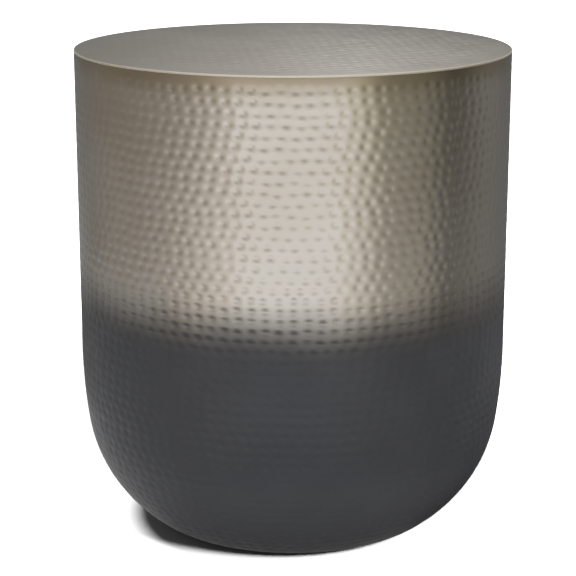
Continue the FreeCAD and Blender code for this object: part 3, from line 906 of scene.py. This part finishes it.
# The lamps: strength, elevation, azimuth from the front towards the right, and spread, in degrees
TABLE_LAMPS = {"front_light": (4.1, 41, 2, 14), "back_light": (4.1, 18, 128, 30)}
FLOOR_LAMPS = {"floor_front_light": (13.7, 30.5, 38, 12), "floor_side_light": (8.4, 64, -90, 16)}


def add_sun(name, strength, elevation, azimuth, spread):
    """Broad soft lamp, far away, that isn't mirrored in the metal."""
    sun = bpy.data.objects.new(name, bpy.data.lights.new(name, "SUN"))
    bpy.context.scene.collection.objects.link(sun)
    sun.data.energy = strength
    sun.data.angle = math.radians(spread)
    sun.visible_glossy = False
    level = math.cos(math.radians(elevation))
    toward = Vector((
        math.sin(math.radians(azimuth)) * level,
        -math.cos(math.radians(azimuth)) * level,
        math.sin(math.radians(elevation))))
    sun.rotation_mode = "QUATERNION"
    sun.rotation_quaternion = toward.to_track_quat("Z", "Y")
    return sun


def link_light(lamp, target, state):
    """Let a lamp light one object alone (INCLUDE), or everything else (EXCLUDE)."""
    group = bpy.data.collections.new(f"{lamp.name}_receivers")
    group.objects.link(target)
    group.collection_objects[0].light_linking.link_state = state
    lamp.light_linking.receiver_collection = group


def add_lamps(floor):
    """Two lamps for the table alone, and two for the floor alone, which whiten each other's shadows."""
    for state, lamps in (("EXCLUDE", TABLE_LAMPS), ("INCLUDE", FLOOR_LAMPS)):
        for name, facts in lamps.items():
            link_light(add_sun(name, *facts), floor, state)


# The cards: how finely they are cut, how high the flat ones lie, and the tints of their two greys
CARD_STEPS = 96
CARD_LIFT = 0.0008
BROWN = ((0.05, 0.11), (0.08, 0.2))
OLIVE = ((0.045, 0.13), (0.05, 0.24))
GREY = ((0.05, 0.15), (0.05, 0.15))


def card_tones(stops, degrees, tone, tint):
    """Colours along a card: its first (1) or second (2) grey, with less green and blue where it is warmer."""
    places = [stop[0] for stop in stops]
    grey = np.interp(degrees, places, [stop[tone] for stop in stops])
    warmth = np.interp(degrees, places, [stop[3] for stop in stops])
    green, blue = (grey * (1 - loss * warmth) for loss in tint)
    return np.column_stack([grey, green, blue, np.ones(len(grey))])


def add_card(name, rings, tints, stops):
    """Curved card round the drum, seen only in reflections.

    It runs through four rings, each a radius and a height: the first two have its first grey, the others
    its second. Each stop has degrees from the front, the two greys and a warmth, which takes away the
    shares of green and blue in each grey's tint.
    """
    degrees = np.linspace(stops[0][0], stops[-1][0], CARD_STEPS + 1)
    angles = np.radians(degrees)
    points = [(radius * math.sin(a), -radius * math.cos(a), z) for radius, z in rings for a in angles]
    width = CARD_STEPS + 1
    corners = [row * width + k for row in range(len(rings) - 1) for k in range(CARD_STEPS)]
    faces = [(k, k + 1, k + width + 1, k + width) for k in corners]
    mesh = bpy.data.meshes.new(name)
    mesh.from_pydata(points, [], faces)
    shade = mesh.color_attributes.new("shade", "FLOAT_COLOR", "POINT")
    first, second = (card_tones(stops, degrees, tone, tint) for tone, tint in enumerate(tints, 1))
    tones = np.concatenate([first, first, second, second])
    shade.data.foreach_set("color", tones.astype(np.float32).ravel())
    material = bpy.data.materials.new(name)
    material.use_nodes = True
    tree = material.node_tree
    tree.nodes.clear()
    colour = add_node(tree, "ShaderNodeAttribute", {"attribute_name": "shade"}).outputs["Color"]
    glow = add_node(tree, "ShaderNodeEmission", inputs={"Color": colour})
    add_node(tree, "ShaderNodeOutputMaterial", inputs={"Surface": glow.outputs["Emission"]})
    material.cycles.emission_sampling = "NONE"
    mesh.materials.append(material)
    card = bpy.data.objects.new(name, mesh)
    bpy.context.scene.collection.objects.link(card)
    for kind in ("camera", "diffuse", "transmission", "shadow", "volume_scatter"):
        setattr(card, f"visible_{kind}", False)


def upright(radius, heights):
    """Rings of an upright card."""
    return [(radius, height) for height in heights]


def lying(radii):
    """Rings of a card that lies on the floor."""
    return [(radius, CARD_LIFT) for radius in radii]


def add_cards():
    """Darker studio round the sides and behind, beyond the camera, and on the floor round the foot, where a
    dark card paints the floor's shade into reflections.
    """
    sides = upright(0.45, (0.0, 0.2, 0.38, 0.5))
    add_card("right_card", sides, OLIVE, [
        (19, 0.98, 0.95, 0.4), (25, 0.87, 0.82, 0.7), (30, 0.75, 0.58, 1), (36, 0.5, 0.35, 1),
        (54, 0.4, 0.27, 1), (70, 0.18, 0.12, 0.6), (95, 0.23, 0.24, 0.4), (105, 0.2, 0.21, 0.3),
        (120, 0.17, 0.17, 0.1), (155, 0.14, 0.14, 0), (180, 0.25, 0.25, 0)])
    add_card("left_card", sides, BROWN, [
        (180, 0.25, 0.25, 0), (205, 0.2, 0.2, 0), (228, 0.3, 0.19, 0), (245, 0.28, 0.22, 0.3),
        (255, 0.27, 0.25, 0.5), (273, 0.39, 0.31, 0.8), (293, 0.42, 0.31, 1), (308, 0.54, 0.36, 1),
        (320, 0.77, 0.47, 1), (328, 0.9, 0.63, 0.8), (338, 1.0, 0.87, 0.4)])
    add_card("right_low_card", upright(0.44, (0.05, 0.08, 0.12, 0.125)), GREY, [
        (70, 0.2, 0.18, 0), (85, 0.42, 0.21, 0), (110, 0.42, 0.2, 0), (125, 0.17, 0.17, 0)])
    add_card("left_low_card", upright(0.44, (0.0, 0.06, 0.19, 0.195)), GREY, [
        (235, 0.3, 0.29, 0), (250, 0.65, 0.28, 0), (285, 0.62, 0.41, 0), (305, 0.52, 0.52, 0)])
    add_card("back_card", upright(0.75, (0.2, 0.58, 0.66, 1.3)), GREY, [
        (60, 0.2, 0.2, 1), (130, 0.22, 0.34, 1), (158, 0.3, 0.7, 0.6), (174, 0.35, 1.0, 0.4),
        (186, 0.32, 0.62, 0.7), (205, 0.25, 0.32, 0.5), (300, 0.22, 0.23, 1)])
    add_card("front_card", upright(3.4, (0.0, 0.4, 1.05, 3.0)), GREY, [
        (-80, 0.93, 0.62, 0.5), (70, 0.93, 0.62, 0.5)])
    # Painted shade: a dark card lying round the foot, seen only in reflections, stands for the shaded floor
    # under the bowl
    add_card("foot_shade_card", lying((0.115, 0.16, 0.25, 0.3)), GREY, [
        (-180, 0.8, 0.9, 0), (-75, 0.7, 0.9, 0), (-50, 0.32, 0.8, 0), (40, 0.32, 0.8, 0), (60, 0.12, 0.5, 0),
        (85, 0.05, 0.12, 0), (150, 0.25, 0.12, 0), (180, 0.8, 0.9, 0)])
    add_card("floor_card", lying((0.3, 0.34, 0.55, 0.6)), GREY, [
        (-180, 0.9, 0.9, 0), (-75, 0.9, 0.9, 0), (-50, 0.2, 0.9, 0), (60, 0.2, 0.9, 0), (85, 0.12, 0.2, 0),
        (150, 0.12, 0.2, 0), (180, 0.9, 0.9, 0)])


upper = make_upper_shell()
lower = make_lower_bowl()
top = make_top_sheet()
upper.data.materials.append(two_tone("hammered_nickel"))
lower.data.materials.append(two_tone("graphite_lacquer"))
top.data.materials.append(top_nickel())
finishes = {slot: speckled(slot, *facts) for slot, facts in PLAIN_FINISHES.items()}
dress_nodes(finishes)
for number in LEVELLERS:
    make_pad(number).data.materials.append(finishes["nylon"])
    make_stem(number).data.materials.append(finishes["zinc_steel"])
add_camera()
add_world()
add_lamps(add_floor())
add_cards()
bpy.context.scene.view_settings.view_transform = "Standard"
